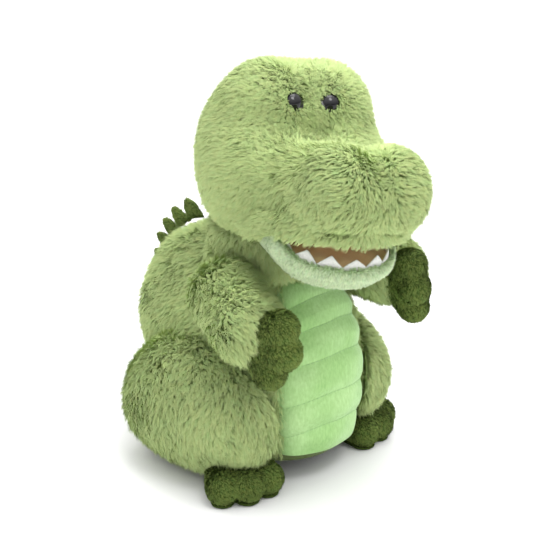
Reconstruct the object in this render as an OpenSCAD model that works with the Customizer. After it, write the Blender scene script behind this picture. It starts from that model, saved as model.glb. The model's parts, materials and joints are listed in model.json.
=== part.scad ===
// Plush crocodile hand puppet with a moving mouth, sitting.
// Millimetres. +Z is up, the body faces -Y and +X is its left side.
// The origin is the centre of the hand opening in the underside. Every part is drawn above the plane
// that the puppet sits on, and show() moves it down by hem_z.

/* [Body] */
// Largest radius of the torso, at the waist
torso_r = 52; // [50:1:54]
// Height of the widest part of the torso
waist_z = 60; // [58:1:64]
// Height of the top of the torso
torso_top = 134; // [132:1:135]
// Angle that the belly panel takes up round the torso
belly_angle = 96; // [80:2:110]
// Thickness of the plush covers
plush_t = 4; // [3:0.5:4]

/* [Hand sleeve] */
// Height of the hem above the plane that the puppet sits on
hem_z = 14; // [12:1:16]
// Radius of the hand opening in the hem
hand_r = 34; // [33:0.5:35]
// Radius of the hand passage at the neck
neck_bore_r = 28; // [26:0.5:28]
// Thickness of the sleeve lining
lining_t = 1.2; // [0.8:0.1:1.4]

/* [Legs and tail] */
// Distance of a haunch from the middle of the body
haunch_x = 51; // [48:1:54]
// Turn of each foot outward
foot_splay = 20; // [0:1:25]
// Length of the tail behind its root
tail_len = 54; // [46:1:58]
// Distance from the middle of the body to the back of the padded back
back_depth = 108; // [104:1:110]

/* [Arms] */
// Radius of the shoulder ball
shoulder_r = 20; // [18:0.5:20]
// Outward turn of the right arm from straight ahead
right_arm_turn = 26; // [15:1:30]
// Outward turn of the left arm from straight ahead
left_arm_turn = 4; // [0:1:15]
// Lift of the left arm above the right one
left_arm_raise = 9; // [0:1:10]

/* [Head] */
// Turn of the head toward the puppet's right
head_turn = 22; // [0:1:24]
// Tilt of the head toward the puppet's left shoulder
head_tilt = 7; // [0:1:8]
// Lift of the nose above level
nose_lift = 5; // [3:1:6]
// Height of the neck's centre of rotation
neck_z = 158; // [156:1:160]
// Radius of the neck roll
neck_r = 40; // [38:0.5:40]

/* [Mouth] */
// How far the jaw hangs open
jaw_open = 14; // [8:1:16]
// Length of the lower jaw in front of its hinge
jaw_len = 59; // [54:1:60]
// Half width of the lower jaw
jaw_half_w = 36; // [33:0.5:36]
// Height of a lower tooth
tooth_h = 7.5; // [5:0.5:7.5]

/* [Hidden] */

seam = 0.2;                      // gap left between sewn layers
clear = 0.8;                     // gap left round a part that moves

plush_green = [0.58, 0.68, 0.43];
olive_green = [0.30, 0.37, 0.14];
mint_green = [0.62, 0.88, 0.58];
satin_tan = [0.80, 0.60, 0.42];
felt_white = [0.95, 0.95, 0.92];
lining_grey = [0.75, 0.77, 0.72];
fill_white = [0.93, 0.93, 0.90];
board_grey = [0.60, 0.58, 0.52];
eye_black = [0.05, 0.05, 0.05];

chest_h = 90;                    // how the torso tapers above the waist
seat_h = 80;                     // and below it
hem_h = 7;
fill_top = 128;
fill_step = 0.6;                 // fill starts this far above the hem
belly_start = 270 - belly_angle / 2;
back_angle = (360 - belly_angle) / 2;

shoulder = [53, -6, 127];
wrist = [52, -44, 119];
wrist_r = 15;
arm_press_turns = [-5, 5, 15];   // turns at which an arm presses into the chest
arm_press_steps = [0.25, 0.5, 0.75];
arm_press_gap = 1.6;
palm = [47, -54, 116];
palm_r = 13;
finger_tips = [[41, -66, 126], [40, -68, 112], [46, -62, 98]];
finger_r = [10, 10, 9];

back_front = 0;                  // the padded back is half an egg from this plane backward
back_half_w = 52;
back_mid_z = 84;
back_half_h = 70;
back_power = 3;                  // how squarely the egg is rounded off at the back
// Ends of the ridge plates as shares of the egg's half height
ridge_ends = [-0.38, -0.22, -0.06, 0.10, 0.26, 0.42, 0.57, 0.70, 0.81, 0.90];
ridge_out = 9;

ankle = [51, -2, 14];
ankle_r = 14;
toe_r = 10.5;
toe_reach = 30;
toe_fan = 30;
sole_t = 1.5;

tail_root = [0, 92, 26];
tail_root_r = 22;

// Head outline from the nose to the nape: [distance along Y, height of the middle, half width,
// half height].
head_rings = [[-131, 192, 13, 9], [-124, 193, 27, 19], [-110, 193, 35, 25], [-92, 193, 38, 27],
              [-70, 193, 39, 27], [-56, 196, 43, 31], [-43, 199, 49, 39], [-28, 203, 56, 50],
              [-9, 205, 59, 54], [11, 207, 54, 51], [29, 208, 43, 41], [41, 208, 26, 25],
              [46, 207, 6, 7]];
head_mid_y = -43;
head_half_len = 89;

hinge = [0, -46, 164];           // line that the mouth folds along
mouth_roof = 174;
board_t = 1.5;
cloth_t = 1;
teeth_t = 1.2;
chin_drop = 13;
rim_h = 2;
palate_half_w = 30;

pocket_half_w = 30;
pocket_h = 22;
pocket_floor = mouth_roof + 1.2;
pocket_back = -44;
pocket_wall = 0.8;
thumb_half_w = 15;
thumb_depth = 38;
thumb_h = 9;
thumb_back = 5;                  // the pocket starts this far in front of the hinge line

eye_place = [12, -38, 239];
eye_r = 6.5;
eye_dome = 5;
shank_r = 2;
shank_len = 13;
washer_r = 7.5;
washer_depth = 8;

// ---------------------------------------------------------------- shared shapes

// Closed body through elliptical rings that stand across Y, listed from low to high Y:
// [y, z, half width, half height].
module loft(rings, x = 0, n = 28) {
  last = len(rings) - 1;
  points = [for (r = rings) for (i = [0:n - 1])
            [x + r[2] * cos(360 * i / n), r[0], r[1] + r[3] * sin(360 * i / n)]];
  skin = [for (k = [0:last - 1]) for (i = [0:n - 1])
          let (a = k * n + i, b = k * n + (i + 1) % n)
          each [[a, b, a + n], [b, b + n, a + n]]];
  front = [for (i = [0:n - 1]) n - 1 - i];
  back = [for (i = [0:n - 1]) last * n + i];
  polyhedron(points, concat([front, back], skin));
}

function shrink(rings, t) = [for (r = rings)
  [head_mid_y + (r[0] - head_mid_y) * (1 - t / head_half_len), r[1], max(r[2] - t, 2), max(r[3] - t, 2)]];

// Plan of the mouth, from its hinge line to a rounded front: half width w, length l.
function mouth_plan(w, l, n = 24) = concat([[w, 0]],
  [for (i = [0:n]) [w * cos(180 * i / n), -(l - w * 0.9) - w * 0.9 * sin(180 * i / n)]],
  [[-w, 0]]);

module mouth_plate(w, l, z, t) {
  translate([0, hinge.y, z]) linear_extrude(t) polygon(mouth_plan(w, l));
}

// A row of pointed teeth standing along the mouth's outline.
module teeth(w, l, h, pitch, first) {
  side = l - w * 0.9;
  arc = 180 / 7;
  for (s = [-1, 1], i = [first:floor(side / pitch) - 1])
    translate([s * w, -pitch * (i + 0.5), 0]) rotate([0, 0, 90]) tooth(pitch, h);
  for (i = [0:6])
    let (a = arc * (i + 0.5), half = w * sin(arc / 2))
    translate([w * cos(a), -side - w * 0.9 * sin(a), 0]) rotate([0, 0, -a + 90]) tooth(2 * half * 0.92, h);
}

module tooth(width, h) {
  rotate([90, 0, 0]) translate([0, 0, -teeth_t / 2]) linear_extrude(teeth_t)
    polygon([[-width / 2, 0], [width / 2, 0], [0, h]]);
}

module capsule(a, b, ra, rb) {
  hull() {
    translate(a) sphere(ra, $fn = 24);
    translate(b) sphere(rb, $fn = 24);
  }
}

// ---------------------------------------------------------------- torso

function torso_out(z) = torso_r * sqrt(1 - pow((z - waist_z) / (z > waist_z ? chest_h : seat_h), 2));
function sleeve_in(z) = hand_r - (hand_r - neck_bore_r) * (z - hem_z) / (torso_top - hem_z);
function cover_in(z) = max(torso_out(z) - plush_t, sleeve_in(z) + lining_t + seam);
function levels(a, b, n) = [for (i = [0:n]) a + (b - a) * i / n];

// A sector of the torso wall between two heights; the profile is [radius, z] points.
module sector(profile, start, angle) {
  rotate([0, 0, start]) rotate_extrude(angle = angle, $fn = 96) polygon(profile);
}

function cover_profile(n = 15) = concat(
  [for (z = levels(hem_z + hem_h, torso_top, n)) [torso_out(z), z]],
  [for (z = levels(torso_top, hem_z + hem_h, n)) [cover_in(z), z]]);

function fill_profile(n = 12) = concat(
  [for (z = levels(hem_z + hem_h + fill_step, fill_top, n)) [cover_in(z) - seam, z]],
  [for (z = levels(fill_top, hem_z + hem_h + fill_step, 3)) [sleeve_in(z) + lining_t + seam, z]]);

// Hollows that leave room for the shoulder balls and the tail's root to turn, and for the arms
// where they swing across the chest.
module joint_hollows() {
  for (s = [-1, 1]) {
    translate([s * shoulder.x, shoulder.y, shoulder.z]) sphere(shoulder_r + clear, $fn = 64);
    for (turn = arm_press_turns, t = arm_press_steps) arm_frame(s, turn)
      translate(arm_point(s, t)) sphere(arm_radius(t) + arm_press_gap, $fn = 48);
  }
  translate(tail_root) sphere(tail_root_r + clear, $fn = 64);
}

module belly_panel() {
  color(mint_green) sector(cover_profile(), belly_start, belly_angle);
}

module back_panel(s) {
  color(plush_green) mirror([s > 0 ? 1 : 0, 0, 0]) difference() {
    sector(cover_profile(), 90, back_angle);
    joint_hollows();
  }
}

module belly_fill() {
  color(fill_white) sector(fill_profile(), belly_start, belly_angle);
}

module back_fill(s) {
  color(fill_white) mirror([s > 0 ? 1 : 0, 0, 0]) difference() {
    sector(fill_profile(), 90, back_angle);
    joint_hollows();
  }
}

module sleeve_lining() {
  hem_top = hem_z + hem_h;
  color(lining_grey) rotate_extrude($fn = 96)
    polygon([[sleeve_in(hem_top), hem_top], [sleeve_in(hem_top) + lining_t, hem_top],
             [sleeve_in(torso_top) + lining_t, torso_top], [sleeve_in(torso_top), torso_top]]);
}

module hem_binding() {
  color(olive_green) translate([0, 0, hem_z]) difference() {
    cylinder(h = hem_h, r1 = torso_out(hem_z) - 4, r2 = torso_out(hem_z + hem_h) - 4, $fn = 96);
    translate([0, 0, -1]) cylinder(h = hem_h + 2, r = hand_r, $fn = 96);
  }
}

// How far the padded back has closed in, as a share, at a share t of its depth or half height.
function back_taper(t) = pow(1 - pow(abs(t), back_power), 1 / back_power);

// The outline of the padded back in the middle plane, pushed out; t is a share of its half height.
function back_line(t, out) = [back_front + (back_depth - back_front + out) * back_taper(t),
                              back_mid_z + (back_half_h + out) * t];

// The stuffed pad that fills the back out behind the torso.
module back_pad() {
  color(plush_green) difference() {
    loft([for (a = levels(0, 90, 10)) let (t = sin(a), share = max(back_taper(t), 0.03))
          [back_front + (back_depth - back_front) * t, back_mid_z, back_half_w * share,
           back_half_h * share]]);
    torso_envelope(seam);
    for (s = [-1, 1]) {
      haunch_body(s);
      translate([s * shoulder.x, shoulder.y, shoulder.z]) sphere(shoulder_r + clear, $fn = 64);
    }
    translate(tail_root) sphere(tail_root_r + clear, $fn = 64);
    translate([0, 0, neck_z]) sphere(neck_r + clear, $fn = 96);
  }
}

// Rounded plates of felt that stand out of the back seam.
module back_ridge() {
  color(olive_green) rotate([90, 0, 90]) translate([0, 0, -1.5]) linear_extrude(3)
    for (i = [0:len(ridge_ends) - 2])
      let (t0 = ridge_ends[i], t1 = t0 + (ridge_ends[i + 1] - t0) * 0.96)
      polygon(concat([for (t = levels(t0, t1, 4)) back_line(t, 2 * seam)],
        [for (a = [15:15:165]) back_line(t1 + (t0 - t1) * a / 180, 2 * seam + ridge_out * sin(a))]));
}

// ---------------------------------------------------------------- legs

module haunch_body(s) {
  loft([[-39, 44, 10, 12], [-33, 46, 20, 24], [-18, 48, 29, 34], [4, 48, 34, 44], [28, 47, 35, 45],
        [52, 45, 32, 42], [70, 40, 24, 33], [82, 38, 12, 18]], x = s * haunch_x);
}

module torso_envelope(gap) {
  rotate_extrude($fn = 96) polygon(concat([[0, -1], [torso_out(hem_z) + gap, -1]],
    [for (z = levels(hem_z, torso_top, 16)) [torso_out(z) + gap, z]], [[0, torso_top]]));
}

module haunch(s) {
  color(plush_green) difference() {
    haunch_body(s);
    torso_envelope(seam);
    translate(tail_root) sphere(tail_root_r + clear, $fn = 64);
  }
}

function toe_tip(s, k) = let (a = foot_splay * s + toe_fan * k)
  [s * ankle.x + toe_reach * sin(a), ankle.y - toe_reach * cos(a), toe_r];

module foot(s) {
  color(olive_green) difference() {
    for (k = [-1:1])
      capsule([s * ankle.x, ankle.y, ankle.z], toe_tip(s, k), ankle_r, toe_r);
    haunch_body(s);
    torso_envelope(seam);
    translate([s * ankle.x - 60, ankle.y - 60, -20]) cube([120, 120, 20 + sole_t]);
  }
}

module sole(s) {
  color(olive_green) linear_extrude(sole_t)
    for (k = [-1:1])
      hull() {
        translate([s * ankle.x, ankle.y]) circle(ankle_r - 5, $fn = 32);
        translate([toe_tip(s, k).x, toe_tip(s, k).y]) circle(toe_r - 3, $fn = 32);
      }
}

// ---------------------------------------------------------------- tail

// The tail's section at a share t of its length: half width, half height and height of the middle.
function tail_taper(t) = pow(1 - t, 0.8);
function tail_y(t) = tail_root.y + 6 + (tail_len - 6) * t;
function tail_half_h(t) = 2 + (tail_root.z - 8) * tail_taper(t);
function tail_mid(t) = tail_half_h(t) + 1 + 2 * t;

module tail_cover() {
  color(plush_green) {
    translate(tail_root) sphere(tail_root_r, $fn = 48);
    loft([for (t = [0:0.125:1]) [tail_y(t), tail_mid(t), 3 + 16 * tail_taper(t), tail_half_h(t)]]);
  }
}

function tail_top(t) = tail_mid(t) + tail_half_h(t) + 2 * seam;

module tail_ridge() {
  plates = 4;
  first = 0.34;
  pitch = 0.16;
  color(olive_green) rotate([90, 0, 90]) translate([0, 0, -1.5]) linear_extrude(3)
    for (i = [0:plates - 1])
      let (t0 = first + pitch * i, t1 = t0 + 0.9 * pitch)
      polygon(concat([for (t = levels(t0, t1, 5)) [tail_y(t), tail_top(t)]],
        [for (a = [15:15:165]) let (t = t1 + (t0 - t1) * a / 180) [tail_y(t), tail_top(t) + 7.5 * sin(a)]]));
}

// ---------------------------------------------------------------- arms

// A point on the arm's middle line at a share t of its length, and the arm's radius there.
function arm_point(s, t) = let (p = shoulder + t * (wrist - shoulder)) [s * p.x, p.y, p.z];
function arm_radius(t) = shoulder_r + t * (wrist_r - shoulder_r);

module arm_frame(s, turn) {
  origin = [s * shoulder.x, shoulder.y, shoulder.z];
  translate(origin) rotate([0, 0, s * turn]) rotate([s > 0 ? -left_arm_raise : 0, 0, 0])
    translate(-origin) children();
}

module arm(s, turn) {
  color(plush_green) arm_frame(s, turn) mirror([s < 0 ? 1 : 0, 0, 0])
    capsule(shoulder, wrist, shoulder_r, wrist_r);
}

module paw(s, turn) {
  color(olive_green) arm_frame(s, turn) mirror([s < 0 ? 1 : 0, 0, 0]) difference() {
    for (i = [0:2]) capsule(palm, finger_tips[i], palm_r, finger_r[i]);
    capsule(shoulder, wrist, shoulder_r + seam, wrist_r + seam);
  }
}

// ---------------------------------------------------------------- neck

function neck_profile(r, z0, z1, inner) = concat(
  [for (z = levels(z0, z1, 8)) [sqrt(r * r - pow(z - neck_z, 2)), z]], [[inner, z1], [inner, z0]]);

module neck_roll() {
  color(plush_green) rotate_extrude($fn = 96)
    polygon(neck_profile(neck_r, torso_top + 2, neck_z + 4, neck_bore_r + lining_t + seam));
}

module neck_lining() {
  color(lining_grey) translate([0, 0, torso_top + 1]) difference() {
    cylinder(h = neck_z + 4 - torso_top, r = neck_bore_r + lining_t, $fn = 96);
    translate([0, 0, -1]) cylinder(h = neck_z + 6 - torso_top, r = neck_bore_r, $fn = 96);
  }
}

// ---------------------------------------------------------------- head

module head_pose() {
  translate([0, 0, neck_z]) rotate([0, 0, -head_turn]) rotate([0, head_tilt, 0])
    rotate([-nose_lift, 0, 0]) translate([0, 0, -neck_z]) children();
}

// Ball-shaped hollow that turns over the neck roll.
module neck_socket() {
  intersection() {
    translate([0, 0, neck_z]) sphere(neck_r + 1.5, $fn = 96);
    translate([-60, -60, neck_z - 60]) cube([120, 120, 78]);
  }
}

module mouth_gap() {
  mouth_plate(jaw_half_w + 2.5, jaw_len + 2.5, mouth_roof - 50, 50);
}

module pocket_space(grow) {
  translate([0, 2, pocket_floor - grow]) linear_extrude(pocket_h + 2 * grow)
    polygon(mouth_plan(pocket_half_w + grow, jaw_len + 44 + grow));
}

module at_eye(s) {
  translate([s * eye_place.x, eye_place.y, eye_place.z]) rotate([52, 0, s * 10]) children();
}

module eye_seat(s) {
  at_eye(s) {
    translate([0, 0, -1]) cylinder(h = 12, r = eye_r + 0.4, $fn = 48);
    translate([0, 0, -shank_len - 2]) cylinder(h = shank_len + 2, r = shank_r + seam, $fn = 32);
  }
}

module head_cover() {
  color(plush_green) head_pose() difference() {
    loft(head_rings);
    loft(shrink(head_rings, plush_t));
    neck_socket();
    mouth_gap();
    for (s = [-1, 1]) eye_seat(s);
  }
}

// Everything in the head above the finger pocket's roof, or one side of what is below it.
module head_part(side) {
  roof = pocket_floor + pocket_h + pocket_wall + seam;
  if (side == 0) translate([-80, -150, roof]) cube([160, 220, 80]);
  else translate([side < 0 ? -80 - seam / 2 : seam / 2, -150, roof - seam - 80]) cube([80, 220, 80]);
}

module head_stuffing(side) {
  color(fill_white) head_pose() difference() {
    intersection() {
      loft(shrink(head_rings, plush_t + seam));
      head_part(side);
    }
    neck_socket();
    mouth_gap();
    pocket_space(pocket_wall + seam);
    for (s = [-1, 1]) {
      eye_seat(s);
      at_eye(s) translate([0, 0, -washer_depth - 2]) cylinder(h = 2.2, r = washer_r + seam, $fn = 48);
    }
  }
}

module finger_pocket() {
  color(lining_grey) head_pose() difference() {
    intersection() {
      pocket_space(pocket_wall);
      loft(shrink(head_rings, plush_t + 2 * seam));
    }
    intersection() {
      pocket_space(0);
      loft(shrink(head_rings, plush_t + 2 * seam + pocket_wall));
    }
    translate([-60, pocket_back, neck_z - 40]) cube([120, 120, 120]);
  }
}

module upper_mouth_board() {
  color(board_grey) head_pose()
    mouth_plate(palate_half_w, jaw_len - 4, mouth_roof - board_t - seam, board_t);
}

module palate_lining() {
  color(satin_tan) head_pose()
    mouth_plate(palate_half_w, jaw_len - 4, mouth_roof - board_t - cloth_t - 2 * seam, cloth_t);
}

module upper_teeth() {
  top = mouth_roof - board_t - cloth_t - 3 * seam;
  color(felt_white) head_pose() translate([0, hinge.y, top]) mirror([0, 0, 1])
    teeth(palate_half_w - 2, jaw_len - 8, tooth_h - 2, 9, 2);
}

module eye(s) {
  color(eye_black) head_pose() at_eye(s) {
    intersection() {
      translate([0, 0, eye_dome - eye_r * 1.15]) sphere(eye_r * 1.15, $fn = 64);
      cylinder(h = eye_dome + 1, r = eye_r, $fn = 64);
    }
    translate([0, 0, -shank_len]) cylinder(h = shank_len + 0.5, r = shank_r, $fn = 32);
  }
}

module eye_washers() {
  color(board_grey) head_pose() for (s = [-1, 1]) at_eye(s) translate([0, 0, -washer_depth - 1.8])
    difference() {
      cylinder(h = 1.8, r = washer_r, $fn = 48);
      translate([0, 0, -1]) cylinder(h = 4, r = shank_r + seam / 2, $fn = 32);
    }
}

// ---------------------------------------------------------------- jaw

// Everything in the jaw is drawn closed, level with the hinge line, and then dropped open.
module jaw_pose() {
  head_pose() translate(hinge) rotate([jaw_open, 0, 0]) translate(-hinge) children();
}

module thumb_space(grow) {
  translate([-thumb_half_w - grow, hinge.y - thumb_depth - grow, hinge.z - thumb_h - 2.7 - grow])
    cube([2 * (thumb_half_w + grow), thumb_depth + grow + 10, thumb_h + 2 * grow]);
}

module jaw_cover() {
  color(mint_green) jaw_pose() difference() {
    hull() {
      mouth_plate(jaw_half_w, jaw_len, hinge.z - 4, 4 + rim_h);
      translate([0, -4, 0]) mouth_plate(jaw_half_w - 8, jaw_len - 12, hinge.z - chin_drop, 2);
    }
    mouth_plate(jaw_half_w - 3, jaw_len - 3, hinge.z - board_t - seam, 20);
    thumb_space(pocket_wall + seam);
    translate([-60, hinge.y - 1, hinge.z - 40]) cube([120, 60, 80]);
  }
}

module lower_mouth_board() {
  color(board_grey) jaw_pose() intersection() {
    mouth_plate(jaw_half_w - 3.4, jaw_len - 3.4, hinge.z - board_t, board_t);
    translate([-60, hinge.y - 61, hinge.z - 20]) cube([120, 60, 40]);
  }
}

module jaw_lining() {
  color(satin_tan) jaw_pose() intersection() {
    mouth_plate(jaw_half_w - 3.4, jaw_len - 3.4, hinge.z + seam, cloth_t);
    translate([-60, hinge.y - 61, hinge.z - 20]) cube([120, 60, 40]);
  }
}

module lower_teeth() {
  color(felt_white) jaw_pose() translate([0, hinge.y, hinge.z + cloth_t + 2 * seam])
    teeth(jaw_half_w - 4.8, jaw_len - 4.8, tooth_h, 11, 1);
}

module thumb_pocket() {
  color(lining_grey) jaw_pose() difference() {
    thumb_space(pocket_wall);
    thumb_space(0);
    translate([-60, hinge.y - thumb_back, hinge.z - 40]) cube([120, 60, 80]);
  }
}

// ---------------------------------------------------------------- nodes

module show(name) {
  translate([0, 0, -hem_z]) children();
}

show("belly_panel") belly_panel();
show("back_panel_right") back_panel(-1);
show("back_panel_left") back_panel(1);
show("belly_fill") belly_fill();
show("back_fill_right") back_fill(-1);
show("back_fill_left") back_fill(1);
show("sleeve_lining") sleeve_lining();
show("hem_binding") hem_binding();
show("haunch_right") haunch(-1);
show("haunch_left") haunch(1);
show("foot_right") foot(-1);
show("foot_left") foot(1);
show("sole_right") sole(-1);
show("sole_left") sole(1);
show("back_pad") back_pad();
show("back_ridge") back_ridge();
show("tail_cover") tail_cover();
show("tail_ridge") tail_ridge();
show("neck_roll") neck_roll();
show("neck_lining") neck_lining();
show("arm_right") arm(-1, right_arm_turn);
show("arm_left") arm(1, left_arm_turn);
show("paw_right") paw(-1, right_arm_turn);
show("paw_left") paw(1, left_arm_turn);
show("head_cover") head_cover();
show("crown_fill") head_stuffing(0);
show("cheek_fill_right") head_stuffing(-1);
show("cheek_fill_left") head_stuffing(1);
show("finger_pocket") finger_pocket();
show("upper_mouth_board") upper_mouth_board();
show("palate_lining") palate_lining();
show("upper_teeth") upper_teeth();
show("eye_right") eye(-1);
show("eye_left") eye(1);
show("eye_washers") eye_washers();
show("jaw_cover") jaw_cover();
show("lower_mouth_board") lower_mouth_board();
show("jaw_lining") jaw_lining();
show("lower_teeth") lower_teeth();
show("thumb_pocket") thumb_pocket();
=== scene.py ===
"""Plush crocodile hand puppet: skins, pile, seams, felt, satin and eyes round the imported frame.

Shapes are worked out in millimetres above the plane that the puppet sits on, as the CAD part is
drawn, and move to the frame of the hand opening, in metres, only when a mesh is made. The pile is
real geometry: every strand is a thin tapering ribbon.
"""
import itertools
import json
import math

import bmesh
import bpy
import numpy as np
from mathutils import Matrix, Vector
from mathutils.kdtree import KDTree


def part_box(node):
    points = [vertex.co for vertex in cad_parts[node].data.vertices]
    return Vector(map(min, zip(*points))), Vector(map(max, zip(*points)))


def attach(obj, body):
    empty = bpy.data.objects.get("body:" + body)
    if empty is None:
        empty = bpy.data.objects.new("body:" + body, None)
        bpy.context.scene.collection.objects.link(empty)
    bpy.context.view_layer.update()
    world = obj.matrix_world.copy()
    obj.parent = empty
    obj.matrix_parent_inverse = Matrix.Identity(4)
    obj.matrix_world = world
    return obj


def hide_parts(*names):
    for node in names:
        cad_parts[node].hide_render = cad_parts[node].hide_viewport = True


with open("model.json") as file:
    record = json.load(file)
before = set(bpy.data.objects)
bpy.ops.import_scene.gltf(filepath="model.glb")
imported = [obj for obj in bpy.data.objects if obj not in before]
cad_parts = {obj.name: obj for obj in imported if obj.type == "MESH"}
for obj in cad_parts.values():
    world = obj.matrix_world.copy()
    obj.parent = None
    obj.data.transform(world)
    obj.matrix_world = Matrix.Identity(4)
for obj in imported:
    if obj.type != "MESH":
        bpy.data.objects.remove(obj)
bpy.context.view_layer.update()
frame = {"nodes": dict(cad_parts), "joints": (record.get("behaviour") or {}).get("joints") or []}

MM = 0.001
JOINTS = {joint["name"]: joint for joint in frame["joints"]}

# -------- driving values, in millimetres

HEAD_TURN, HEAD_TILT, NOSE_LIFT, JAW_DROP = 22, 7, 5, 14  # resting pose of the head, in degrees
LIFT = np.array([0.0, 0.0, 14.0])  # from the plane it sits on to the origin
NECK = np.array(JOINTS["head_nod"]["pos_m"]) / MM + LIFT  # centre that the head nods about

TORSO_R, WAIST_Z, TORSO_TOP = 52, 60, 134
CHEST_H, SEAT_H = 90, 80  # half heights of the torso's egg, up and down
BACK_HALF_W, BACK_DEPTH, BACK_MID_Z, BACK_HALF_H = 52, 108, 84, 70
BACK_TAPER = 9  # how much narrower the back is at the shoulders
BACK_RISE = 14  # how much higher the back stands than the chest
HEM_BASE, HEM_Z = 14, 21
BELLY_HALF = math.radians(48)  # half the belly's angle round the torso
BELLY_CHANNELS = [41, 62, 86, 106, 122]  # heights of the stitched lines at the middle
CHANNEL_DROP = 9  # how far each one falls at the side seams
COVER_T = 4  # thickness of the body's plush
SLEEVE_R, SLEEVE_TOP_R = 34, 28

HINGE = np.array([0.0, -46.0, 164.0])  # the mouth's fold, before the head is posed
MOUTH_ROOF = 174
MOUTH_HALF_W, MOUTH_LEN = 38.5, 61.5
MOUTH_ROUND = 0.9  # depth of the front arc over its half width
JAW_HALF_W, JAW_LEN = 32.6, 55.6  # the part of the jaw that the satin covers
JAW_TUCK = 11  # how far the jaw runs back under the cheeks
LIP_DROP = 14  # how far the upper lip may hang round the mouth
LIP_MID_Z, LIP_R = 173.0, 6.5  # middle height and radius of the lip's roll
LIP_SINK = 8.0  # how far that roll sinks toward the corners
NECK_HOLE_R = 42  # the head's hollow round the neck joint
EYE_PLACE = np.array([12.6, -28.0, 237.0])
EYE_R = 6.5
RIDGE_CENTRE = np.array([0.0, 45.0, 88.0])  # what the scutes stand away from

STRANDS_MOST = 64000  # strands in one piece of pile
STRAND_ROOT = 0.4  # how deep a strand starts in its backing
STRAND_LOWEST = 0.3  # how far strands stay above the table


def turn(axis, degrees):
    return np.array(Matrix.Rotation(math.radians(degrees), 3, axis))


HEAD_ROTATION = turn("Z", -HEAD_TURN) @ turn("Y", HEAD_TILT) @ turn("X", -NOSE_LIFT)
JAW_ROTATION = turn("X", JAW_DROP)


def head_pose(points):
    """Points of the upright head, moved to where the head rests."""
    return NECK + (np.asarray(points, float) - NECK) @ HEAD_ROTATION.T


def jaw_pose(points):
    """Points of the closed jaw, moved to where the jaw rests."""
    return head_pose(HINGE + (np.asarray(points, float) - HINGE) @ JAW_ROTATION.T)


def torso_out(z):
    """Radius of the torso's outside at a height."""
    z = np.asarray(z, float)
    tall = np.where(z > WAIST_Z, CHEST_H, SEAT_H)
    return TORSO_R * np.sqrt(np.clip(1 - ((z - WAIST_Z) / tall) ** 2, 0.01, 1))


def sleeve_in(z):
    share = (np.asarray(z, float) - HEM_BASE) / (TORSO_TOP - HEM_BASE)
    return SLEEVE_R - (SLEEVE_R - SLEEVE_TOP_R) * share


# -------- fields and meshes

def ellipsoid(p, centre, radii):
    q = p - np.array(centre, float)
    near = np.linalg.norm(q / radii, axis=1)
    slope = np.linalg.norm(q / np.square(radii), axis=1)
    return near * (near - 1) / np.maximum(slope, 1e-6)


def capsule(p, a, b, radius_a, radius_b):
    a, b = np.array(a, float), np.array(b, float)
    line = b - a
    t = np.clip((p - a) @ line / (line @ line), 0, 1)
    return np.linalg.norm(p - a - t[:, None] * line, axis=1) - (radius_a + (radius_b - radius_a) * t)


def merge(a, b, soft):
    """Union of two fields with a fillet of about that size."""
    share = np.clip(0.5 + 0.5 * (b - a) / soft, 0, 1)
    return b * (1 - share) + a * share - soft * share * (1 - share)


def carve(a, b, soft):
    """Field a with field b cut away, and the edge rounded."""
    return -merge(-a, b, soft)


def both_sides(p):
    """Points folded onto the left side, so that a field made there is symmetric."""
    q = p.copy()
    q[:, 0] = np.abs(q[:, 0])
    return q


def span(count, start, axis, other, third):
    index = [None] * 3
    index[axis] = slice(None)
    index[other] = slice(start[0], start[0] + count[other])
    index[third] = slice(start[1], start[1] + count[third])
    return tuple(index)


def surface_net(field, low, high, pitch):
    """Closed quad mesh of the surface where field is zero, inside a box."""
    low = np.array(low, float)
    count = np.ceil((np.array(high, float) - low) / pitch).astype(int) + 1
    axes = [low[i] + pitch * np.arange(count[i]) for i in range(3)]
    grid = np.stack(np.meshgrid(*axes, indexing="ij"), axis=-1).reshape(-1, 3)
    value = field(grid).reshape(count)
    cells = count - 1
    total = np.zeros(cells, int)
    for d in itertools.product((0, 1), repeat=3):
        total += value[d[0]:d[0] + cells[0], d[1]:d[1] + cells[1], d[2]:d[2] + cells[2]] < 0
    mixed = (total > 0) & (total < 8)
    number = np.full(cells, -1)
    number[mixed] = np.arange(mixed.sum())
    place = np.zeros((*cells, 3))
    hits = np.zeros(cells)
    quads = []
    for axis in range(3):
        other, third = (axis + 1) % 3, (axis + 2) % 3
        start = np.take(value, range(cells[axis]), axis)
        end = np.take(value, range(1, count[axis]), axis)
        crossing = (start < 0) != (end < 0)
        share = np.where(crossing, start / np.where(start == end, 1, start - end), 0)
        for u, v in itertools.product((0, 1), repeat=2):
            part = span(cells, (u, v), axis, other, third)
            place[..., axis] += share[part]
            place[..., other] += u * crossing[part]
            place[..., third] += v * crossing[part]
            hits += crossing[part]
        at = np.argwhere(crossing)
        inner = (at[:, other] > 0) & (at[:, third] > 0)
        inner &= (at[:, other] < cells[other]) & (at[:, third] < cells[third])
        at = at[inner]
        ring = []
        for u, v in ((1, 1), (0, 1), (0, 0), (1, 0)):
            cell = at.copy()
            cell[:, other] -= u
            cell[:, third] -= v
            ring.append(number[tuple(cell.T)])
        ring = np.stack(ring, axis=1)
        outward = (start < 0)[tuple(at.T)]
        ring[~outward] = ring[~outward][:, ::-1]
        quads.append(ring)
    where = np.argwhere(mixed)
    points = low + pitch * (where + place[mixed] / hits[mixed][:, None])
    return settle(field, points, pitch), np.concatenate(quads)


def slope_at(field, points, step):
    return np.stack([(field(points + step * e) - field(points - step * e)) / (2 * step)
                     for e in np.eye(3)], axis=1)


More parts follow.
